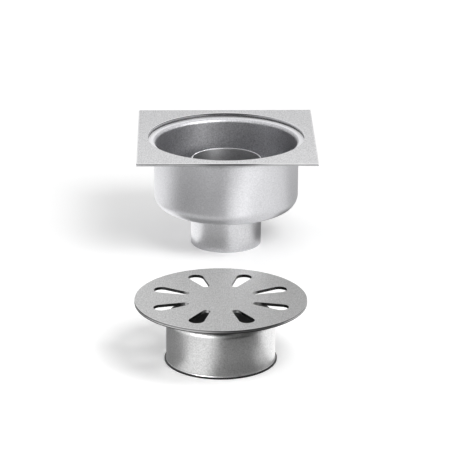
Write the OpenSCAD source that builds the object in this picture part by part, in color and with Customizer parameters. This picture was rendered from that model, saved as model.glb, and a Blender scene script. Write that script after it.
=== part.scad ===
// Floor gully trap in stainless steel sheet: a square flange plate over a deep-drawn bowl, an outlet
// tube that stands up inside the bowl as an overflow, and a lift-out strainer with a bell under it.
// The bell hangs over the standpipe, so the water left in the bowl closes the drain to smells.
// Millimetres, +Z up. The origin is the centre of the outlet's lower end.

/* [Overall] */
// Height from the outlet's lower end to the top of the flange plate
overall_h = 126; // [115:1:180]
// Where the strainer is: lifted out in front of the body, or in its seat
strainer_place = "beside"; // [beside, seated]
// Free distance between the plate and the strainer when it is lifted out
strainer_apart = 162.5; // [20:0.5:300]
// How far to the left of the body's axis the lifted-out strainer stands
strainer_shift = 11; // [-60:1:60]

/* [Flange plate] */
// Side of the square plate
plate_w = 200; // [192:1:300]
// Thickness of the plate
plate_t = 3; // [2:0.5:4]
// Radius of the plate's four corners, seen from above
plate_corner_r = 1.5; // [0.8:0.1:10]
// Rounding of the plate's outer edges, above and below
plate_edge_r = 0.5; // [0.2:0.1:0.9]
// Width of the plate beside its round opening, where it is narrowest
plate_border = 11.5; // [10:0.5:20]

/* [Bowl] */
// Thickness of the bowl's sheet
bowl_t = 1.5; // [1:0.1:2]
// Height from the top of the plate to the underside of the bowl
bowl_depth = 82; // [70:1:95]
// Outside radius of the bend between the bowl's wall and its floor
bowl_corner_r = 15; // [8:0.5:30]
// Depth of the strainer's seat below the top of the plate
seat_depth = 4.5; // [4.5:0.5:8]
// Width of the flat part of the seat
seat_w = 3.9; // [2.5:0.1:8]
// Radius of the rounded shoulder between the seat and the wall
shoulder_r = 4; // [2.5:0.5:5]
// How far the bowl's step stands inside the plate's opening
step_inset = 0.4; // [0.2:0.1:0.6]
// Width of the bowl's rim that is welded under the plate
rim_w = 7; // [4:0.5:10]

/* [Outlet tube] */
// Outside diameter of the tube
tube_od = 80; // [60:1:90]
// Wall of the tube
tube_t = 1.5; // [1:0.1:2.5]
// Height left free between the standpipe's rim and the bell's ceiling
standpipe_gap = 10.3; // [4:0.1:30]
// Rounding of the standpipe's rim
tube_edge_r = 0.4; // [0.1:0.1:0.5]
// Size of the fillet weld between the tube and the underside of the bowl
weld_w = 1.5; // [1:0.5:3]
// Gap between the tube and the hole in the bowl's floor, closed by the weld
weld_gap = 0.1; // [0.05:0.05:0.3]

/* [Strainer plate] */
// Thickness of the strainer plate
strainer_t = 3; // [2:0.5:4]
// Height of the strainer plate's turned-down edge
strainer_edge_h = 4; // [4:0.5:6]
// Width of that edge
strainer_edge_w = 2.5; // [1.5:0.5:4]
// Rounding of the strainer plate's outer edges
strainer_edge_r = 0.6; // [0.2:0.1:1]
// Gap all round between the strainer plate and the bowl's step
strainer_gap = 0.6; // [0.4:0.1:1.5]
// Number of slots
slot_count = 8; // [5:1:9]
// Radius of a slot's inner end
slot_inner_r = 4; // [2.5:0.5:5]
// Radius of a slot's outer end
slot_outer_r = 8; // [6:0.5:9]
// Distance from the axis to the centre of a slot's inner end
slot_inner_at = 39; // [32:0.5:42]
// Width of the strainer plate left outside its slots
slot_margin = 14.5; // [8:0.5:20]

/* [Bell] */
// Width of the ring of water between the standpipe and the bell
bell_ring = 14.3; // [8:0.1:20]
// Height left free between the bowl's floor and the bell's lower edge
bell_floor_gap = 15; // [5:0.5:25]
// Thickness of the bell's sheet
bell_t = 1.2; // [0.8:0.1:1.5]
// Outside radius of the bend between the bell's top and its wall
bell_corner_r = 8; // [4:0.5:12]
// Free height between the strainer plate and the bell
bell_gap = 12; // [8:0.5:14]
// Radius of the outward bend at the bell's lower edge
flare_r = 1.2; // [0.6:0.1:2]
// How far the bell's lip stands out from its wall
lip_w = 1.8; // [1.3:0.1:3]

/* [Bell spacer] */
// Diameter of the spacer
spacer_d = 16; // [12:1:24]
// Chamfer of the spacer's two ends
spacer_chamfer = 0.8; // [0.4:0.1:1.5]
// Diameter of the tenon that passes through the bell
tenon_d = 8; // [6:0.5:10]
// Gap between the tenon and its hole
tenon_gap = 0.1; // [0.05:0.05:0.2]
// Diameter of the riveted head inside the bell
head_d = 13; // [11:0.5:16]
// Thickness of the riveted head
head_t = 2; // [1.5:0.5:3]

/* [Hidden] */
$fn = 128;

// How far a cutting shape runs past what it cuts
past = 1;

// Levels above the outlet's lower end
plate_under_z = overall_h - plate_t;
seat_z = overall_h - seat_depth;
bowl_under_z = overall_h - bowl_depth;

// Opening in the plate, and the rim and step of the bowl under it
recess_r = plate_w / 2 - plate_border;
step_r = recess_r - step_inset;
rim_r = step_r + rim_w;

// Wall of the bowl, with its bends: the shoulder turns outwards and the floor bend inwards
mouth_r = step_r - seat_w - shoulder_r;
bowl_r = mouth_r + bowl_t;
shoulder_c = [mouth_r + shoulder_r, seat_z - shoulder_r];
floor_bend_c = [bowl_r - bowl_corner_r, bowl_under_z + bowl_corner_r];

// Strainer in its seat, and its own levels, which count from the top of its plate
strainer_r = step_r - strainer_gap;
seated_z = seat_z + strainer_edge_h;
bell_top = -strainer_t - bell_gap;
strainer_h = seated_z - bowl_under_z - bowl_t - bell_floor_gap;
bell_rim = -strainer_h;

// Outlet tube, and the bell that hangs over it
tube_r = tube_od / 2;
tube_hole_r = tube_r + weld_gap;
standpipe_z = seated_z + bell_top - bell_t - standpipe_gap;
bell_r = tube_r + bell_ring + bell_t;

// Where the strainer is
strainer_reach = plate_w / 2 + strainer_apart + strainer_r;
strainer_at = strainer_place == "seated"
    ? [0, 0, seated_z]
    : [-strainer_shift, -strainer_reach, strainer_h];

// Slots: the centre of the outer end, and the angle of the sides, which run along both round ends
slot_outer_at = strainer_r - slot_margin - slot_outer_r;
slot_taper = asin((slot_outer_r - slot_inner_r) / (slot_outer_at - slot_inner_at));

// How far a slot's sides lie inside its round ends, so that they cross them cleanly
side_inset = 0.01;

// Direction at an angle, as a unit vector
function dir(a) = [cos(a), sin(a)];

// Part of a ring between two radii, from angle a0 to angle a1, less than half a turn
module bend(outer, inner, a0, a1) {
    reach = 2 * outer;
    intersection() {
        difference() {
            circle(outer);
            circle(inner);
        }
        polygon([[0, 0], reach * dir(a0), reach * dir((a0 + a1) / 2), reach * dir(a1)]);
    }
}

// What is cut away to round a corner whose arc is centred on the origin
module corner_waste(r) {
    difference() {
        square(r + past);
        circle(r);
    }
}

// Rectangle in a section, from one radius and height to another
module band(r0, r1, z0, z1) {
    translate([r0, z0]) square([r1 - r0, z1 - z0]);
}

// Outline of a square with rounded corners
module rounded_square(w, r) {
    h = w / 2 - r;
    square([w, w - 2 * r], center = true);
    square([w - 2 * r, w], center = true);
    for (x = [-h, h], y = [-h, h]) translate([x, y]) circle(r);
}

// Side view of the plate, with its edges rounded, standing on z = 0
module plate_profile(w, t, r) {
    difference() {
        translate([-w / 2, 0]) square([w, t]);
        for (side = [0, 1]) mirror([side, 0]) {
            translate([w / 2 - r, t - r]) corner_waste(r);
            translate([w / 2 - r, r]) mirror([0, 1]) corner_waste(r);
        }
    }
}

// A profile drawn in X and Z, run along the whole width of the plate
module along_y(w) {
    rotate([90, 0, 0]) linear_extrude(w + 2 * past, center = true) children();
}

// Square plate with a round opening, its edges softened
module flange_plate() {
    color([0.84, 0.85, 0.86]) translate([0, 0, plate_under_z]) difference() {
        intersection() {
            linear_extrude(plate_t) rounded_square(plate_w, plate_corner_r);
            along_y(plate_w) plate_profile(plate_w, plate_t, plate_edge_r);
            rotate([0, 0, 90]) along_y(plate_w) plate_profile(plate_w, plate_t, plate_edge_r);
        }
        translate([0, 0, -past]) cylinder(r = recess_r, h = plate_t + 2 * past);
        translate([0, 0, plate_t - plate_edge_r])
            cylinder(r1 = recess_r, r2 = recess_r + plate_edge_r + past, h = plate_edge_r + past);
    }
}

// Section of the bowl's sheet: rim, step, seat, shoulder, wall, floor bend and floor
module bowl_section() {
    band(step_r, rim_r, plate_under_z - bowl_t, plate_under_z);
    band(step_r, step_r + bowl_t, seat_z - bowl_t, plate_under_z);
    band(shoulder_c[0], step_r + bowl_t, seat_z - bowl_t, seat_z);
    translate(shoulder_c) bend(shoulder_r, shoulder_r - bowl_t, 90, 180);
    band(mouth_r, bowl_r, floor_bend_c[1], shoulder_c[1]);
    translate(floor_bend_c) bend(bowl_corner_r, bowl_corner_r - bowl_t, -90, 0);
    band(tube_hole_r, floor_bend_c[0], bowl_under_z, bowl_under_z + bowl_t);
}

// Deep-drawn bowl, welded under the plate by its rim
module bowl() {
    color([0.74, 0.74, 0.76]) rotate_extrude() bowl_section();
}

// One tube, through the bowl's floor: standpipe above, outlet spigot below, with its weld
module outlet_tube() {
    mid_r = tube_r - tube_t / 2;
    color([0.70, 0.70, 0.72]) rotate_extrude() {
        difference() {
            band(tube_r - tube_t, tube_r, 0, standpipe_z);
            for (side = [0, 1])
                translate([mid_r, standpipe_z - tube_edge_r])
                    mirror([side, 0])
                    translate([tube_t / 2 - tube_edge_r, 0])
                    corner_waste(tube_edge_r);
        }
        difference() {
            band(mid_r, tube_r + weld_w, bowl_under_z - weld_w, bowl_under_z);
            translate([tube_r + weld_w, bowl_under_z - weld_w]) circle(weld_w);
        }
    }
}

// Puts the strainer's pieces where the strainer is
module place_strainer() {
    translate(strainer_at) children();
}

// Outline of one slot along +X: a small round inner end, straight sides and a wide round outer end
module slot_outline() {
    inner_c = [slot_inner_at, 0];
    outer_c = [slot_outer_at, 0];
    left = dir(90 + slot_taper);
    right = dir(-90 - slot_taper);
    translate(inner_c) circle(slot_inner_r);
    translate(outer_c) circle(slot_outer_r);
    polygon([
        inner_c + (slot_inner_r - side_inset) * left,
        inner_c + (slot_inner_r - side_inset) * right,
        outer_c + (slot_outer_r - side_inset) * right,
        outer_c + (slot_outer_r - side_inset) * left
    ]);
}

// Section of the strainer's disc: flat underneath, with a deeper edge that meets the seat
module strainer_section() {
    difference() {
        union() {
            band(0, strainer_r, -strainer_t, 0);
            band(strainer_r - strainer_edge_w, strainer_r, -strainer_edge_h, 0);
        }
        translate([strainer_r - strainer_edge_r, -strainer_edge_r]) corner_waste(strainer_edge_r);
        translate([strainer_r - strainer_edge_r, strainer_edge_r - strainer_edge_h])
            mirror([0, 1]) corner_waste(strainer_edge_r);
    }
}

// Round strainer plate with its ring of slots, none of which lies on an axis
module strainer_plate() {
    color([0.78, 0.78, 0.79]) place_strainer() difference() {
        rotate_extrude() strainer_section();
        for (i = [0 : slot_count - 1])
            rotate([0, 0, (i + 0.5) * 360 / slot_count])
                translate([0, 0, -strainer_t - past])
                linear_extrude(strainer_t + 2 * past) slot_outline();
    }
}

// Turned spacer between the strainer plate and the bell, its tenon riveted over inside the bell
module bell_spacer() {
    spacer_r = spacer_d / 2;
    tenon_r = tenon_d / 2;
    head_r = head_d / 2;
    head_z = bell_top - bell_t;
    color([0.62, 0.62, 0.64]) place_strainer() rotate_extrude() difference() {
        polygon([
            [0, -strainer_t],
            [spacer_r - spacer_chamfer, -strainer_t],
            [spacer_r, -strainer_t - spacer_chamfer],
            [spacer_r, bell_top + spacer_chamfer],
            [spacer_r - spacer_chamfer, bell_top],
            [tenon_r, bell_top],
            [tenon_r, head_z],
            [head_r, head_z],
            [head_r, head_z - head_t],
            [0, head_z - head_t]
        ]);
        translate([head_r - head_t / 2, head_z - head_t / 2])
            mirror([0, 1]) corner_waste(head_t / 2);
    }
}

// Section of the bell's sheet: top, corner bend, straight wall, outward bend and lip
module bell_section() {
    corner_c = [bell_r - bell_corner_r, bell_top - bell_corner_r];
    flare_c = [bell_r + flare_r, bell_rim + bell_t + flare_r];
    band(tenon_d / 2 + tenon_gap, corner_c[0], bell_top - bell_t, bell_top);
    translate(corner_c) bend(bell_corner_r, bell_corner_r - bell_t, 0, 90);
    band(bell_r - bell_t, bell_r, flare_c[1], corner_c[1]);
    translate(flare_c) bend(flare_r + bell_t, flare_r, 180, 270);
    band(flare_c[0], bell_r + lip_w, bell_rim, bell_rim + bell_t);
}

// Drawn bell, open below, that hangs over the standpipe when the strainer is in its seat
module bell() {
    color([0.72, 0.72, 0.73]) place_strainer() rotate_extrude() bell_section();
}

flange_plate();
bowl();
outlet_tube();
strainer_plate();
bell_spacer();
bell();
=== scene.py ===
from math import cos, pi, radians, sin

import bpy
from mathutils import Matrix, Vector


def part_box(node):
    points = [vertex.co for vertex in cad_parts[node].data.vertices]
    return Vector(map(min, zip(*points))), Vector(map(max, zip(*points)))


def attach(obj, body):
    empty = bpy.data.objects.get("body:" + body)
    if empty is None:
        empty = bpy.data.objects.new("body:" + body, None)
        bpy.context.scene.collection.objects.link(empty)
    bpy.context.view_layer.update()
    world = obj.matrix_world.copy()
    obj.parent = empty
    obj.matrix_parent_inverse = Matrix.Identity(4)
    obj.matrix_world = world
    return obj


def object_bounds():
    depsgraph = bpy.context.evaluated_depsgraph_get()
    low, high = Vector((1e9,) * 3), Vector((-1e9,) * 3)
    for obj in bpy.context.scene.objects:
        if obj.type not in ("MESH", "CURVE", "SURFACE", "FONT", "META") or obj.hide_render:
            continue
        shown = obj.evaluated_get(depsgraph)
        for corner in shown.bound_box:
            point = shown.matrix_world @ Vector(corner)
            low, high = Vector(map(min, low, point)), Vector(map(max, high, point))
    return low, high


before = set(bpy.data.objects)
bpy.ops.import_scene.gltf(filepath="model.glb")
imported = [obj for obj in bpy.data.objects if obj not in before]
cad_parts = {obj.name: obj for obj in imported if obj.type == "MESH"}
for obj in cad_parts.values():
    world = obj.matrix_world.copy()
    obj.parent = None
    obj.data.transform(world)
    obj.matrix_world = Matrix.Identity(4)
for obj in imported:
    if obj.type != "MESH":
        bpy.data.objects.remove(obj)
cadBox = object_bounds()

mm = 0.001

# Places that the later stages share, all read from the frame.
plateLow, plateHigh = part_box("flange_plate")
discLow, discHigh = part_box("strainer_plate")
bellLow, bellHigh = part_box("bell")
discRadius = (discHigh.x - discLow.x) / 2
floorLevel = cadBox[0].z
bodyAxis = Vector((0, 0, 0))
strainerAxis = Vector(((discLow.x + discHigh.x) / 2, (discLow.y + discHigh.y) / 2, 0))
print("frame loaded:", ", ".join(sorted(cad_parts)))


# Short ways to add nodes. A socket in the inputs is linked, and anything else is set.

def addNode(tree, kind, settings=None, inputs=None):
    node = tree.nodes.new(kind)
    for name, value in (settings or {}).items():
        setattr(node, name, value)
    for key, value in (inputs or {}).items():
        if isinstance(value, bpy.types.NodeSocket):
            tree.links.new(value, node.inputs[key])
        else:
            node.inputs[key].default_value = value
    return node


def mathNode(tree, operation, a, b=0.0):
    return addNode(tree, "ShaderNodeMath", {"operation": operation}, {0: a, 1: b}).outputs[0]


def addUp(tree, first, *others):
    for other in others:
        first = mathNode(tree, "ADD", first, other)
    return first


def times(tree, first, *others):
    for other in others:
        first = mathNode(tree, "MULTIPLY", first, other)
    return first


def vectorNode(tree, operation, a, b=(0, 0, 0)):
    return addNode(tree, "ShaderNodeVectorMath", {"operation": operation}, {0: a, 1: b})


def split(tree, vector):
    return addNode(tree, "ShaderNodeSeparateXYZ", {}, {0: vector}).outputs


def join(tree, x=0.0, y=0.0, z=0.0):
    return addNode(tree, "ShaderNodeCombineXYZ", {}, {0: x, 1: y, 2: z}).outputs[0]


def ramp(tree, value, fromLow, fromHigh, toLow, toHigh):
    return addNode(tree, "ShaderNodeMapRange", {"interpolation_type": "SMOOTHSTEP"},
                   {0: value, 1: fromLow, 2: fromHigh, 3: toLow, 4: toHigh}).outputs[0]


def step(tree, value, at, fade, before, after):
    return ramp(tree, value, at - fade, at + fade, before, after)


def mixed(tree, share, a, b):
    return addNode(tree, "ShaderNodeMix", {"data_type": "FLOAT"}, {0: share, 2: a, 3: b}).outputs[0]


def noise(tree, place, size, detail=2.0, roughness=0.5):
    return addNode(tree, "ShaderNodeTexNoise", {}, {
        "Vector": place, "Scale": 1 / size, "Detail": detail, "Roughness": roughness}).outputs["Fac"]


def swing(tree, value, amount, middle=0.5):
    # A noise swings about its middle.
    return times(tree, mathNode(tree, "SUBTRACT", value, middle), amount)


# Steel finishes. tone is the reflected colour. grain is a size in metres, a change of colour and a change of
# roughness, and mottle is the same for broad patches. stretch draws the grain out along an axis. lines is the
# length and spacing of the working marks in metres and their change of colour, and along is the way they run.
# bump is a height in metres.

flangeFinish = {"tone": (0.705, 0.705, 0.715), "roughness": 0.36, "grain": (1.25 * mm, 1.10, 0.06),
                "stretch": (1, 3, 1), "mottle": (22 * mm, 0.07, 0.08),
                "lines": (40 * mm, 0.30 * mm, 0.05), "along": "y", "bump": 0.03 * mm}
bowlFinish = {"tone": (0.670, 0.670, 0.690), "roughness": 0.35, "grain": (1.5 * mm, 0.60, 0.04),
              "mottle": (26 * mm, 0.05, 0.04), "lines": (60 * mm, 1.2 * mm, 0.03), "along": "z",
              "bump": 0.03 * mm}
tubeFinish = {"tone": (0.670, 0.670, 0.685), "roughness": 0.33, "grain": (1.5 * mm, 0.70, 0.05),
              "mottle": (20 * mm, 0.08, 0.08), "lines": (50 * mm, 0.8 * mm, 0.05), "along": "round",
              "bump": 0.03 * mm}
strainerFinish = {"tone": (0.530, 0.530, 0.530), "roughness": 0.38, "grain": (1.2 * mm, 1.10, 0.06),
                  "stretch": (1, 3, 1), "mottle": (18 * mm, 0.06, 0.06),
                  "lines": (40 * mm, 0.35 * mm, 0.04), "along": "y", "bump": 0.03 * mm}
spacerFinish = {"tone": (0.560, 0.560, 0.565), "roughness": 0.34, "grain": (0.6 * mm, 0.20, 0.15),
                "mottle": (8 * mm, 0.06, 0.06), "lines": (30 * mm, 0.25 * mm, 0.12), "along": "round",
                "bump": 0.02 * mm}
bellFinish = {"tone": (0.640, 0.640, 0.640), "roughness": 0.34, "grain": (1.5 * mm, 1.00, 0.08),
              "mottle": (16 * mm, 0.08, 0.08), "lines": (50 * mm, 0.8 * mm, 0.06), "along": "round",
              "bump": 0.03 * mm}
steelMakeup = {"grainDetail": 3.0, "grainHarshness": 0.65, "bumpStrength": 0.5, "linesInBump": 0.8}


def markTrack(tree, local, finish):
    # Where the working marks run: round the axis on a turned wall, and straight on a rolled or drawn one.
    lineLong, lineApart, _ = finish["lines"]
    if finish["along"] == "round":
        spot = split(tree, local)
        reach = vectorNode(tree, "LENGTH", join(tree, spot[0], spot[1])).outputs["Value"]
        around = mathNode(tree, "ARCTAN2", spot[0], spot[1])
        return join(tree, times(tree, reach, 1 / lineApart), mathNode(tree, "SINE", around),
                    times(tree, spot[2], 1 / lineApart))
    scale = [1 / lineApart] * 3
    scale["xyz".index(finish["along"])] = 1 / lineLong
    return addNode(tree, "ShaderNodeMapping", {}, {"Vector": local, "Scale": scale}).outputs[0]


def steel(name, finish, axis, partRule=None):
    # A part rule gives a shade, a change of roughness and how much grain shows, from the place on the part.
    material = bpy.data.materials.new(name)
    material.use_nodes = True
    tree = material.node_tree
    shader = tree.nodes["Principled BSDF"]
    shader.inputs["Metallic"].default_value = 1.0
    place = addNode(tree, "ShaderNodeTexCoord").outputs["Object"]
    local = vectorNode(tree, "SUBTRACT", place, axis).outputs[0]
    grainSize, grainShade, grainRough = finish["grain"]
    mottleSize, mottleShade, mottleRough = finish["mottle"]
    stretched = vectorNode(tree, "DIVIDE", place, finish.get("stretch", (1, 1, 1))).outputs[0]
    grain = noise(tree, stretched, grainSize, steelMakeup["grainDetail"], steelMakeup["grainHarshness"])
    mottle = noise(tree, place, mottleSize)
    lines = noise(tree, markTrack(tree, local, finish), 1.0)
    partShade, partRough, grainShown = partRule(tree, local) if partRule else (1.0, 0.0, 1.0)
    fine = times(tree, grainShown, addUp(tree, swing(tree, grain, grainShade),
                                         swing(tree, lines, finish["lines"][2])))
    shade = times(tree, partShade, addUp(tree, 1.0, fine, swing(tree, mottle, mottleShade)))
    rough = addUp(tree, finish["roughness"], swing(tree, grain, grainRough),
                  swing(tree, mottle, mottleRough), partRough)
    colour = addNode(tree, "ShaderNodeVectorMath", {"operation": "SCALE"},
                     {0: finish["tone"], "Scale": shade})
    tree.links.new(colour.outputs[0], shader.inputs["Base Color"])
    tree.links.new(rough, shader.inputs["Roughness"])
    bump = addNode(tree, "ShaderNodeBump", {}, {
        "Strength": times(tree, mathNode(tree, "MINIMUM", grainShown, 1.0), steelMakeup["bumpStrength"]),
        "Distance": finish["bump"],
        "Height": addUp(tree, grain, swing(tree, lines, steelMakeup["linesInBump"]))})
    tree.links.new(bump.outputs["Normal"], shader.inputs["Normal"])
    return material


# How a face's slant is read. facing goes from -1, towards the axis, to 1, away from it. upward goes from -1,
# straight down, to 1, straight up.
slants = {"innerFace": (-0.5, 0.0), "boreFace": (-0.9, -0.5), "outerFace": (0.0, 0.5),
          "underside": (-0.9, -0.5), "upright": (0.35, 0.75), "roundingFrom": (0.15, 0.45),
          "roundingTo": (0.93, 0.99), "flat": (0.8, 0.95)}
edgeGrain = 0.15  # share of the grain that shows on an edge
edgeFade = 0.2 * mm


def radial(tree, local):
    spot = split(tree, local)
    flat = join(tree, spot[0], spot[1])
    outward = vectorNode(tree, "NORMALIZE", flat).outputs[0]
    normal = addNode(tree, "ShaderNodeNewGeometry").outputs["Normal"]
    facing = vectorNode(tree, "DOT_PRODUCT", normal, outward).outputs["Value"]
    reach = vectorNode(tree, "LENGTH", flat).outputs["Value"]
    return facing, split(tree, normal)[2], reach, spot[2]


def shearedEdge(tree, down, parts):
    # A sheared edge from its top down: a dark line, a lighter band and a dark line at its foot, their
    # darkness partly the cut's own zones and partly painted shade.
    burnish = step(tree, down, parts["tearTo"], edgeFade, parts["tornAndShade"], parts["burnished"])
    return times(tree, burnish, step(tree, down, parts["burrFrom"], edgeFade, 1.0, parts["burrAndShade"]))


def edgeShade(tree, upward, band, glint):
    # The flat faces keep their tone, the upright ones take the band, and the rounding between them takes a
    # painted highlight.
    side = ramp(tree, mathNode(tree, "ABSOLUTE", upward), *slants["upright"], 1.0, 0.0)
    rounding = times(tree, ramp(tree, upward, *slants["roundingFrom"], 0.0, 1.0),
                     ramp(tree, upward, *slants["roundingTo"], 1.0, 0.0))
    plain = addUp(tree, 1.0, times(tree, side, mathNode(tree, "SUBTRACT", band, 1.0)))
    return addUp(tree, plain, times(tree, rounding, mathNode(tree, "SUBTRACT", glint, plain)))


def flatOnly(tree, upward):
    return ramp(tree, mathNode(tree, "ABSOLUTE", upward), *slants["flat"], edgeGrain, 1.0)


# glint is a painted highlight on the rounding of the plate's edges.
plateParts = {"glint": 1.35, "tearTo": 1.25 * mm, "tornAndShade": 0.30, "burnished": 0.90, "burrFrom": 2.4 * mm,
              "burrAndShade": 0.18, "middleDarkest": 0.35, "middleDarkTo": (14 * mm, 42 * mm), "endHighlightFrom": (16 * mm, 66 * mm),
              "endHighlight": 1.35, "endHighlightTo": (1.0 * mm, 1.5 * mm), "bore": 1.1, "under": 0.8, "front": 1.10,
              "back": 0.975, "rimHighlight": 1.18, "rimHighlightWidth": 1.1 * mm, "rimHighlightFade": 0.3 * mm}


def plateShade(tree, local):
    facing, upward, _, height = radial(tree, local)
    across, along = split(tree, local)[:2]
    down = mathNode(tree, "SUBTRACT", plateHigh.z, height)
    band = times(tree, shearedEdge(tree, down, plateParts),
                 ramp(tree, facing, *slants["boreFace"], plateParts["bore"], 1.0))
    # The band is darkest at the middle of the edge, and towards one end its top takes a painted highlight.
    middleDark = ramp(tree, mathNode(tree, "ABSOLUTE", across), *plateParts["middleDarkTo"], plateParts["middleDarkest"], 1.0)
    endLight = times(tree, ramp(tree, across, *plateParts["endHighlightFrom"], 0.0, plateParts["endHighlight"]),
                  ramp(tree, down, *plateParts["endHighlightTo"], 1.0, 0.0))
    band = mathNode(tree, "MAXIMUM", times(tree, band, middleDark), endLight)
    # A painted highlight runs round the plate's rim.
    sides = split(tree, vectorNode(tree, "ABSOLUTE", local).outputs[0])
    rimHighlightFrom = plateHigh.x - plateParts["rimHighlightWidth"]
    rimHighlight = ramp(tree, mathNode(tree, "MAXIMUM", sides[0], sides[1]), rimHighlightFrom - plateParts["rimHighlightFade"],
                  rimHighlightFrom, 1.0, plateParts["rimHighlight"])
    # Painted light and shade: the plate is lighter towards the front and darker towards the back.
    paintedSlope = ramp(tree, along, plateLow.y, plateHigh.y, plateParts["front"], plateParts["back"])
    # The underside is painted darker, a painted shade.
    under = ramp(tree, upward, *slants["underside"], plateParts["under"], 1.0)
    shade = times(tree, edgeShade(tree, upward, band, plateParts["glint"]), rimHighlight, paintedSlope, under)
    return shade, 0.0, flatOnly(tree, upward)


# Levels are measured down from the plate's underside.
bowlParts = {"wall": 0.86, "wallFrom": (1.8 * mm, 4.6 * mm), "wallGrain": 2.4, "seat": 1.46, "rim": 0.14,
             "seatTo": (1.6 * mm, 2.5 * mm), "levelSlant": (0.5, 0.9), "seatRougher": 0.20,
             "shoulderTo": (4.2 * mm, 7 * mm), "tucked": 0.70, "tuckedTo": (6 * mm, 10 * mm)}


def bowlShade(tree, local):
    facing, upward, _, height = radial(tree, local)
    down = mathNode(tree, "SUBTRACT", plateLow.z, height)
    level = ramp(tree, upward, *bowlParts["levelSlant"], 0.0, 1.0)
    inside = mathNode(tree, "MAXIMUM", ramp(tree, facing, *slants["innerFace"], 1.0, 0.0), level)
    # The inside wall is painted darker, a painted shade in the hollow, and shows more grain.
    wall = times(tree, inside, ramp(tree, down, *bowlParts["wallFrom"], 0.0, 1.0))
    # The seat takes a painted highlight, and the low wall round it a dark line of painted shade.
    high = ramp(tree, down, *bowlParts["seatTo"], 1.0, 0.0)
    seat = times(tree, high, level)
    rim = times(tree, high, ramp(tree, facing, *slants["boreFace"], 1.0, 0.0))
    shade = addUp(tree, 1.0, times(tree, wall, bowlParts["wall"] - 1),
                  times(tree, seat, bowlParts["seat"] - 1), times(tree, rim, bowlParts["rim"] - 1))
    # The outer wall is shaded a little way down from the plate.
    tucked = times(tree, ramp(tree, facing, *slants["outerFace"], 0.0, 1.0),
                   ramp(tree, down, *bowlParts["tuckedTo"], bowlParts["tucked"] - 1, 0.0))
    shoulder = times(tree, inside, ramp(tree, down, *bowlParts["shoulderTo"], 1.0, 0.0))
    return (times(tree, shade, addUp(tree, 1.0, tucked)), times(tree, shoulder, bowlParts["seatRougher"]),
            addUp(tree, 1.0, times(tree, wall, bowlParts["wallGrain"] - 1)))


# The inside of the tube is painted darker, a painted shade, and is a little rougher.
tubeParts = {"tone": 0.82, "rougher": 0.08}


def tubeShade(tree, local):
    facing = radial(tree, local)[0]
    return (ramp(tree, facing, *slants["innerFace"], tubeParts["tone"], 1.0),
            ramp(tree, facing, *slants["innerFace"], tubeParts["rougher"], 0.0), 1.0)


# glint is a painted highlight on the rounding of the disc's edges.
strainerParts = {"glint": 1.22, "tearTo": 1.9 * mm, "tornAndShade": 0.42, "burnished": 0.95, "burrFrom": 2.9 * mm,
                 "burrAndShade": 0.12, "rimWithin": (6 * mm, 5 * mm), "under": 0.28, "underSlant": (-0.7, -0.2),
                 "slotInner": 0.95, "slotOuter": 0.08, "slotFade": (38 * mm, 44 * mm), "left": 1.24,
                 "right": 0.88}


def strainerShade(tree, local):
    _, upward, reach, height = radial(tree, local)
    # The slot walls are painted darker towards their outer ends, a painted shade.
    slotWall = ramp(tree, reach, *strainerParts["slotFade"], strainerParts["slotInner"],
                    strainerParts["slotOuter"])
    rimFrom, rimTo = (discRadius - inset for inset in strainerParts["rimWithin"])
    down = mathNode(tree, "SUBTRACT", discHigh.z, height)
    wall = mixed(tree, ramp(tree, reach, rimFrom, rimTo, 0.0, 1.0), slotWall,
                 shearedEdge(tree, down, strainerParts))
    # Painted light and shade: the tone falls slowly from one side of the disc to the other.
    paintedSlope = ramp(tree, split(tree, local)[0], -discRadius, discRadius, strainerParts["left"],
                 strainerParts["right"])
    # The underside is painted dark, a painted shade.
    under = ramp(tree, upward, *strainerParts["underSlant"], strainerParts["under"], 1.0)
    shade = times(tree, edgeShade(tree, upward, wall, strainerParts["glint"]), under, paintedSlope)
    return shade, 0.0, flatOnly(tree, upward)


# The top's levels are measured down from the bell's top, and the lip's up from its foot.
bellParts = {"top": 0.08, "topSlant": (0.25, 0.85), "topTo": (12 * mm, 6 * mm), "inside": 0.5,
             "shoulderRougher": 0.16, "shoulderSlant": (0.1, 0.5), "lip": 0.06, "lipSlant": (0.5, 0.8),
             "lipTo": (1.5 * mm, 1.7 * mm)}


def bellShade(tree, local):
    facing, upward, _, height = radial(tree, local)
    # The top is painted near black and the inside darker, painted shade under the disc and inside the bell.
    topFrom, topTo = (bellHigh.z - level for level in bellParts["topTo"])
    aloft = ramp(tree, height, topFrom, topTo, 0.0, 1.0)
    top = ramp(tree, upward, *bellParts["topSlant"], 1.0, bellParts["top"])
    topShade = addUp(tree, 1.0, times(tree, aloft, mathNode(tree, "SUBTRACT", top, 1.0)))
    inside = ramp(tree, facing, *slants["innerFace"], bellParts["inside"], 1.0)
    # The lip is painted dark down to the floor, a painted shade where it meets the floor.
    lipFrom, lipTo = (bellLow.z + level for level in bellParts["lipTo"])
    lip = times(tree, ramp(tree, height, lipFrom, lipTo, 1.0, 0.0),
                ramp(tree, addUp(tree, facing, upward), *bellParts["lipSlant"], 0.0, 1.0))
    lipShade = addUp(tree, 1.0, times(tree, lip, bellParts["lip"] - 1))
    rougher = times(tree, aloft, ramp(tree, upward, *bellParts["shoulderSlant"], 0.0,
                                      bellParts["shoulderRougher"]))
    return times(tree, topShade, inside, lipShade), rougher, 1.0


def finishNode(node, material):
    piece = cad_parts[node]
    piece.data.materials.clear()
    piece.data.materials.append(material)


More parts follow.
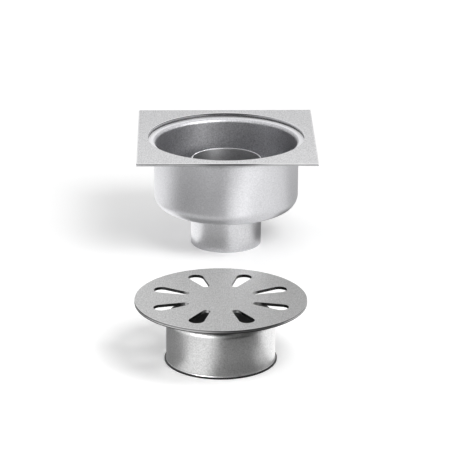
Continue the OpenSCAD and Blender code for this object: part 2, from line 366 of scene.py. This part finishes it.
finishNode("flange_plate", steel("flangeSteel", flangeFinish, bodyAxis, plateShade))
finishNode("bowl", steel("bowlSteel", bowlFinish, bodyAxis, bowlShade))
finishNode("outlet_tube", steel("tubeSteel", tubeFinish, bodyAxis, tubeShade))
finishNode("strainer_plate", steel("strainerSteel", strainerFinish, strainerAxis, strainerShade))
finishNode("bell_spacer", steel("spacerSteel", spacerFinish, strainerAxis))
finishNode("bell", steel("bellSteel", bellFinish, strainerAxis, bellShade))
print("steel finishes made")


# Weld beads lie in a corner between two sheets, in one or more runs round the body's axis. Sizes are in
# metres, and the tilt is from level in degrees.

tubeWeld = {"runs": 1, "beads": 96, "radius": 40.80 * mm, "level": 43.20 * mm, "tilt": 135.0,
            "along": 2.1 * mm, "across": 1.05 * mm, "thick": 0.42 * mm, "uneven": 0.10, "seed": 4}
tubeWeld["pitch"] = 2 * pi * tubeWeld["radius"] / tubeWeld["beads"]
rimWeld = {"runs": 12, "beads": 11, "radius": 95.45 * mm, "level": 122.60 * mm, "tilt": 135.0,
           "along": 1.35 * mm, "across": 0.95 * mm, "thick": 0.40 * mm, "uneven": 0.12, "seed": 9,
           "pitch": 1.6 * mm}
weldFinish = {"tone": (0.520, 0.512, 0.505), "roughness": 0.40, "grain": (0.5 * mm, 0.50, 0.20),
              "mottle": (6 * mm, 0.20, 0.10), "lines": (4 * mm, 0.5 * mm, 0.10), "along": "x",
              "bump": 0.03 * mm}
beadFacets = {"Segments": 14, "Rings": 8, "Radius": 1.0}


def beadTree(name, sizes, material):
    tree = bpy.data.node_groups.new(name, "GeometryNodeTree")
    tree.interface.new_socket("Geometry", in_out="OUTPUT", socket_type="NodeSocketGeometry")
    sockets = {}
    for key, value in sizes.items():
        kind = "NodeSocketInt" if isinstance(value, int) else "NodeSocketFloat"
        sockets[key] = tree.interface.new_socket(key, in_out="INPUT", socket_type=kind)
    given = addNode(tree, "NodeGroupInput").outputs
    index = addNode(tree, "GeometryNodeInputIndex").outputs[0]
    run = mathNode(tree, "FLOOR", mathNode(tree, "DIVIDE", index, given["beads"]))
    bead = mathNode(tree, "MODULO", index, given["beads"])
    turn = addUp(tree, times(tree, run, mathNode(tree, "DIVIDE", 2 * pi, given["runs"])),
                 times(tree, bead, mathNode(tree, "DIVIDE", given["pitch"], given["radius"])))
    place = join(tree, times(tree, given["radius"], mathNode(tree, "COSINE", turn)),
                 times(tree, given["radius"], mathNode(tree, "SINE", turn)), given["level"])
    points = addNode(tree, "GeometryNodePoints", {}, {
        "Count": times(tree, given["runs"], given["beads"]), "Position": place})
    swell = addNode(tree, "FunctionNodeRandomValue", {"data_type": "FLOAT"}, {
        2: mathNode(tree, "SUBTRACT", 1.0, given["uneven"]), 3: addUp(tree, 1.0, given["uneven"]),
        "Seed": given["seed"]}).outputs[1]
    size = vectorNode(tree, "MULTIPLY", join(tree, given["across"], given["along"], given["thick"]), swell)
    drop = addNode(tree, "GeometryNodeMeshUVSphere", {}, beadFacets)
    laid = addNode(tree, "GeometryNodeInstanceOnPoints", {}, {
        "Points": points.outputs[0], "Instance": drop.outputs[0], "Scale": size.outputs[0],
        "Rotation": join(tree, 0.0, mathNode(tree, "RADIANS", given["tilt"]), turn)})
    joined = addNode(tree, "GeometryNodeRealizeInstances", {}, {0: laid.outputs[0]})
    smooth = addNode(tree, "GeometryNodeSetShadeSmooth", {}, {0: joined.outputs[0]})
    finished = addNode(tree, "GeometryNodeSetMaterial", {}, {
        "Geometry": smooth.outputs[0], "Material": material})
    addNode(tree, "NodeGroupOutput", {}, {0: finished.outputs[0]})
    return tree, sockets


def addPiece(name, data):
    piece = bpy.data.objects.new(name, data)
    bpy.context.scene.collection.objects.link(piece)
    return piece


def layBeads(name, sizes, material):
    piece = addPiece(name, bpy.data.meshes.new(name))
    tree, sockets = beadTree(name + "Tree", sizes, material)
    modifier = piece.modifiers.new("beads", "NODES")
    modifier.node_group = tree
    for key, value in sizes.items():
        modifier[sockets[key].identifier] = value
    solved = piece.evaluated_get(bpy.context.evaluated_depsgraph_get())
    mesh = bpy.data.meshes.new_from_object(solved)
    piece.modifiers.remove(modifier)
    piece.data = mesh
    mesh.name = name
    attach(piece, "root")


weldSteel = steel("weldSteel", weldFinish, bodyAxis)
layBeads("tubeWeldBeads", tubeWeld, weldSteel)
layBeads("rimWeldBeads", rimWeld, weldSteel)
print("weld beads laid")


# The floor is a little lighter to the camera, and white well away from the object and its shadow.

heightless = (1, 1, 0)  # a vector multiplied by it loses its height
floorSettings = {"halfSide": 6.0, "colour": (0.93, 0.93, 0.93), "roughness": 0.9, "lift": 0.16,
                 "farLift": 0.60, "fade": (0.25, 1.6)}


def layFloor(settings):
    half = settings["halfSide"]
    corners = [(-half, -half), (half, -half), (half, half), (-half, half)]
    mesh = bpy.data.meshes.new("studioFloor")
    mesh.from_pydata([(x, y, floorLevel) for x, y in corners], [], [(0, 1, 2, 3)])
    floor = addPiece("studioFloor", mesh)
    material = bpy.data.materials.new("paleFloor")
    material.use_nodes = True
    tree = material.node_tree
    shader = tree.nodes["Principled BSDF"]
    shader.inputs["Base Color"].default_value = (*settings["colour"], 1)
    shader.inputs["Roughness"].default_value = settings["roughness"]
    shader.inputs["Specular IOR Level"].default_value = 0.0
    rays = addNode(tree, "ShaderNodeLightPath")
    place = addNode(tree, "ShaderNodeTexCoord").outputs["Object"]
    offset = vectorNode(tree, "SUBTRACT", place, (bodyAxis + strainerAxis) / 2).outputs[0]
    flat = vectorNode(tree, "MULTIPLY", offset, heightless).outputs[0]
    away = vectorNode(tree, "LENGTH", flat).outputs["Value"]
    lift = ramp(tree, away, *settings["fade"], settings["lift"], settings["farLift"])
    shader.inputs["Emission Color"].default_value = (1, 1, 1, 1)
    tree.links.new(times(tree, rays.outputs["Is Camera Ray"], lift), shader.inputs["Emission Strength"])
    mesh.materials.append(material)


layFloor(floorSettings)


# Light. Azimuths are in degrees from the front, positive to the right, and elevations are above the floor.

def direction(azimuth, elevation):
    a, e = radians(azimuth), radians(elevation)
    return Vector((sin(a) * cos(e), -cos(a) * cos(e), sin(e)))


# Glossy rays see a world with a dark lobe and a light one.
worldSettings = {"diffuseLevel": 0.46, "glossBase": 0.85}
lobes = [
    {"azimuth": 50, "elevation": -6, "width": 50, "change": -0.60},
    {"azimuth": -40, "elevation": 18, "width": 36, "change": 0.30},
]


def lightWorld(settings):
    world = bpy.data.worlds.new("studio")
    bpy.context.scene.world = world
    world.use_nodes = True
    tree = world.node_tree
    tree.nodes.clear()
    way = addNode(tree, "ShaderNodeTexCoord").outputs["Generated"]
    gloss = settings["glossBase"]
    for lobe in lobes:
        heart = direction(lobe["azimuth"], lobe["elevation"])
        near = vectorNode(tree, "DOT_PRODUCT", way, heart).outputs["Value"]
        gloss = addUp(tree, gloss, ramp(tree, near, cos(radians(lobe["width"])), 1.0, 0.0, lobe["change"]))
    rays = addNode(tree, "ShaderNodeLightPath").outputs
    glossy = mathNode(tree, "MAXIMUM", rays["Is Glossy Ray"], rays["Is Transmission Ray"])
    lit = mixed(tree, glossy, settings["diffuseLevel"], gloss)
    seen = mixed(tree, rays["Is Camera Ray"], lit, 1.0)
    background = addNode(tree, "ShaderNodeBackground", {}, {"Color": (1, 1, 1, 1), "Strength": seen})
    addNode(tree, "ShaderNodeOutputWorld", {}, {"Surface": background.outputs[0]})


# The key, fill and top lamps light the floor and its shadow. A sheen lamp only draws a sheen on its pieces.
lamps = {
    "keyLamp": {"azimuth": 40, "elevation": 52, "distance": 1.6, "size": 0.8, "watts": 17},
    "fillLamp": {"azimuth": -110, "elevation": 40, "distance": 1.6, "size": 0.9, "watts": 3},
    "topLamp": {"azimuth": 180, "elevation": 75, "distance": 1.5, "size": 1.0, "watts": 2},
    "bodySheenLamp": {"azimuth": 40, "elevation": 20, "distance": 1.6, "size": 0.85, "high": 0.35,
                      "watts": 30, "sheenOn": ["bowl", "outlet_tube"]},
    "bellSheenLamp": {"azimuth": -36, "elevation": 22, "distance": 1.6, "size": 0.35, "watts": 24,
                      "sheenOn": ["bell_spacer", "bell"]},
}


def hangLamps():
    middle = (cadBox[0] + cadBox[1]) / 2
    for name, lamp in lamps.items():
        light = bpy.data.lights.new(name, "AREA")
        light.shape = "RECTANGLE"
        light.size = lamp["size"]
        light.size_y = lamp.get("high", lamp["size"])
        light.energy = lamp["watts"]
        rig = addPiece(name, light)
        way = direction(lamp["azimuth"], lamp["elevation"])
        rig.location = middle + way * lamp["distance"]
        rig.rotation_euler = way.to_track_quat("Z", "Y").to_euler()
        rig.visible_camera = False
        rig.visible_glossy = "sheenOn" in lamp
        if "sheenOn" in lamp:
            rig.visible_diffuse = False
            lit = bpy.data.collections.new(name + "Lights")
            for node in lamp["sheenOn"]:
                lit.objects.link(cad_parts[node])
            rig.light_linking.receiver_collection = lit


# Reflector cards and flags lie on the floor round each upright and show only in the steel. Each is a sector
# with soft edges: its middle and half width, its reach in metres, the fade at its near edge, and its glow.
bodyCards = {
    "bodyFlag": {"azimuth": -43, "half": 51, "soft": 34, "reach": (0.17, 0.50), "near": 0.05, "glow": 0.19},
    "bodyReflector": {"azimuth": 64, "half": 36, "soft": 24, "reach": (0.05, 0.50), "near": 0.02,
                      "glow": 0.90},
    "bodySideFlag": {"azimuth": 132, "half": 48, "soft": 26, "reach": (0.05, 0.50), "near": 0.02,
                     "glow": 0.50},
    "bodyRimReflector": {"azimuth": -148, "half": 60, "soft": 20, "reach": (0.05, 0.50), "near": 0.02,
                         "glow": 1.20},
    "bodyEdgeFlag": {"azimuth": 12, "half": 36, "soft": 30, "reach": (0.16, 0.42), "near": 0.05,
                     "glow": 0.30},
    "cornerFlag": {"azimuth": -46, "half": 66, "soft": 34, "reach": (0.09, 0.21), "near": 0.02,
                   "glow": 0.66},
    "cornerReflector": {"azimuth": 50, "half": 34, "soft": 24, "reach": (0.09, 0.21), "near": 0.02,
                        "glow": 0.90},
    "spigotFlag": {"azimuth": -30, "half": 42, "soft": 20, "reach": (0.045, 0.125), "near": 0.01,
                   "glow": 0.34},
    "spigotSideFlag": {"azimuth": 112, "half": 48, "soft": 26, "reach": (0.045, 0.14), "near": 0.01,
                       "glow": 0.20},
    "spigotRimReflector": {"azimuth": -112, "half": 50, "soft": 16, "reach": (0.045, 0.16), "near": 0.01,
                           "glow": 1.30},
}
bellCards = {
    "bellReflector": {"azimuth": -34, "half": 30, "soft": 22, "reach": (0.056, 0.26), "near": 0.004,
                      "glow": 1.00},
    "bellFlag": {"azimuth": 22, "half": 44, "soft": 24, "reach": (0.056, 0.12), "near": 0.004,
                 "glow": 0.22},
    "bellFarFlag": {"azimuth": 34, "half": 52, "soft": 24, "reach": (0.10, 0.36), "near": 0.02,
                    "glow": 0.22},
    "bellSideFlag": {"azimuth": -108, "half": 48, "soft": 24, "reach": (0.056, 0.20), "near": 0.004,
                     "glow": 0.26},
    "bellRimReflector": {"azimuth": 124, "half": 56, "soft": 20, "reach": (0.056, 0.24), "near": 0.004,
                         "glow": 1.40},
}
# Every card lies a little higher than the one before it. farFade is a share of its reach.
cardMakeup = {"firstLevel": 0.3 * mm, "rise": 0.1 * mm, "farFade": 0.4, "steps": 16}


def cardMaterial(name, cover, glow):
    material = bpy.data.materials.new(name)
    material.use_nodes = True
    tree = material.node_tree
    tree.nodes.clear()
    light = addNode(tree, "ShaderNodeEmission", {}, {"Strength": glow})
    clear = addNode(tree, "ShaderNodeBsdfTransparent")
    blended = addNode(tree, "ShaderNodeMixShader", {}, {
        0: cover(tree), 1: clear.outputs[0], 2: light.outputs[0]})
    addNode(tree, "ShaderNodeOutputMaterial", {}, {"Surface": blended.outputs[0]})
    return material


def sector(tree, axis, card):
    place = addNode(tree, "ShaderNodeTexCoord").outputs["Object"]
    offset = vectorNode(tree, "SUBTRACT", place, axis).outputs[0]
    flat = vectorNode(tree, "MULTIPLY", offset, heightless).outputs[0]
    nearness = vectorNode(tree, "DOT_PRODUCT", vectorNode(tree, "NORMALIZE", flat).outputs[0],
                          direction(card["azimuth"], 0)).outputs["Value"]
    cover = ramp(tree, nearness, cos(radians(card["half"])), cos(radians(card["half"] - card["soft"])),
                 0.0, 1.0)
    return place, vectorNode(tree, "LENGTH", flat).outputs["Value"], cover


def arc(axis, card, radius, height):
    steps = cardMakeup["steps"]
    turns = [card["azimuth"] - card["half"] + 2 * card["half"] * i / steps for i in range(steps + 1)]
    spots = [axis + direction(turn, 0) * radius for turn in turns]
    return [(spot.x, spot.y, height) for spot in spots]


def placeCard(name, near, far, material):
    # near and far are the card's two long sides, with as many points each.
    count = len(near)
    mesh = bpy.data.meshes.new(name)
    mesh.from_pydata(near + far, [], [(i, i + 1, count + i + 1, count + i) for i in range(count - 1)])
    mesh.materials.append(material)
    piece = addPiece(name, mesh)
    for kind in ("camera", "diffuse", "transmission", "shadow", "volume_scatter"):
        setattr(piece, "visible_" + kind, False)


# An upright flag in front of the bell keeps the horizon out of its shoulder.
shoulderFlag = {"azimuth": 33, "half": 50, "soft": 24, "radius": 0.22, "foot": 3 * mm, "height": 0.12,
                "fade": 0.03, "glow": 0.01}


def standFlag(name, axis, flag):
    foot, top = floorLevel + flag["foot"], floorLevel + flag["height"]

    def cover(tree):
        place, _, across = sector(tree, axis, flag)
        return times(tree, across, ramp(tree, split(tree, place)[2], top - flag["fade"], top, 1.0, 0.0))

    placeCard(name, arc(axis, flag, flag["radius"], foot), arc(axis, flag, flag["radius"], top),
              cardMaterial(name, cover, flag["glow"]))


def layCard(name, axis, card, height):
    near, far = card["reach"]

    def cover(tree):
        _, distance, across = sector(tree, axis, card)
        fadeFrom = far - cardMakeup["farFade"] * (far - near)
        return times(tree, across, ramp(tree, distance, fadeFrom, far, 1.0, 0.0),
                     ramp(tree, distance, near, near + card["near"], 0.0, 1.0))

    placeCard(name, arc(axis, card, near, height), arc(axis, card, far, height),
              cardMaterial(name, cover, card["glow"]))


def layCards():
    height = floorLevel + cardMakeup["firstLevel"]
    for axis, cards in ((bodyAxis, bodyCards), (strainerAxis, bellCards)):
        for name, card in cards.items():
            layCard(name, axis, card, height)
            height += cardMakeup["rise"]


lightWorld(worldSettings)
layCards()
standFlag("shoulderFlag", strainerAxis, shoulderFlag)
hangLamps()
print("floor and light set")


# The camera looks at the middle of the plate's top and is then turned down and rolled a little. Angles are in
# degrees, and the lens and sensor in millimetres.

cameraSettings = {"azimuth": -0.97, "elevation": 17.65, "distance": 3.0, "lens": 211.6, "sensor": 36,
                  "roll": 0.14, "below": 1.942, "farEnd": 50}


def placeCamera(settings):
    data = bpy.data.cameras.new("camera")
    camera = addPiece("camera", data)
    data.lens = settings["lens"]
    data.sensor_width = settings["sensor"]
    data.clip_end = settings["farEnd"]
    away = direction(settings["azimuth"], settings["elevation"])
    camera.location = Vector((0, 0, plateHigh.z)) + away * settings["distance"]
    turn = away.to_track_quat("Z", "Y").to_matrix()
    tilt = Matrix.Rotation(-radians(settings["below"]), 3, "X")
    roll = Matrix.Rotation(radians(settings["roll"]), 3, "Z")
    camera.rotation_euler = (turn @ tilt @ roll).to_euler()
    bpy.context.scene.camera = camera


placeCamera(cameraSettings)
bpy.context.scene.view_settings.view_transform = "Standard"
print("camera placed")
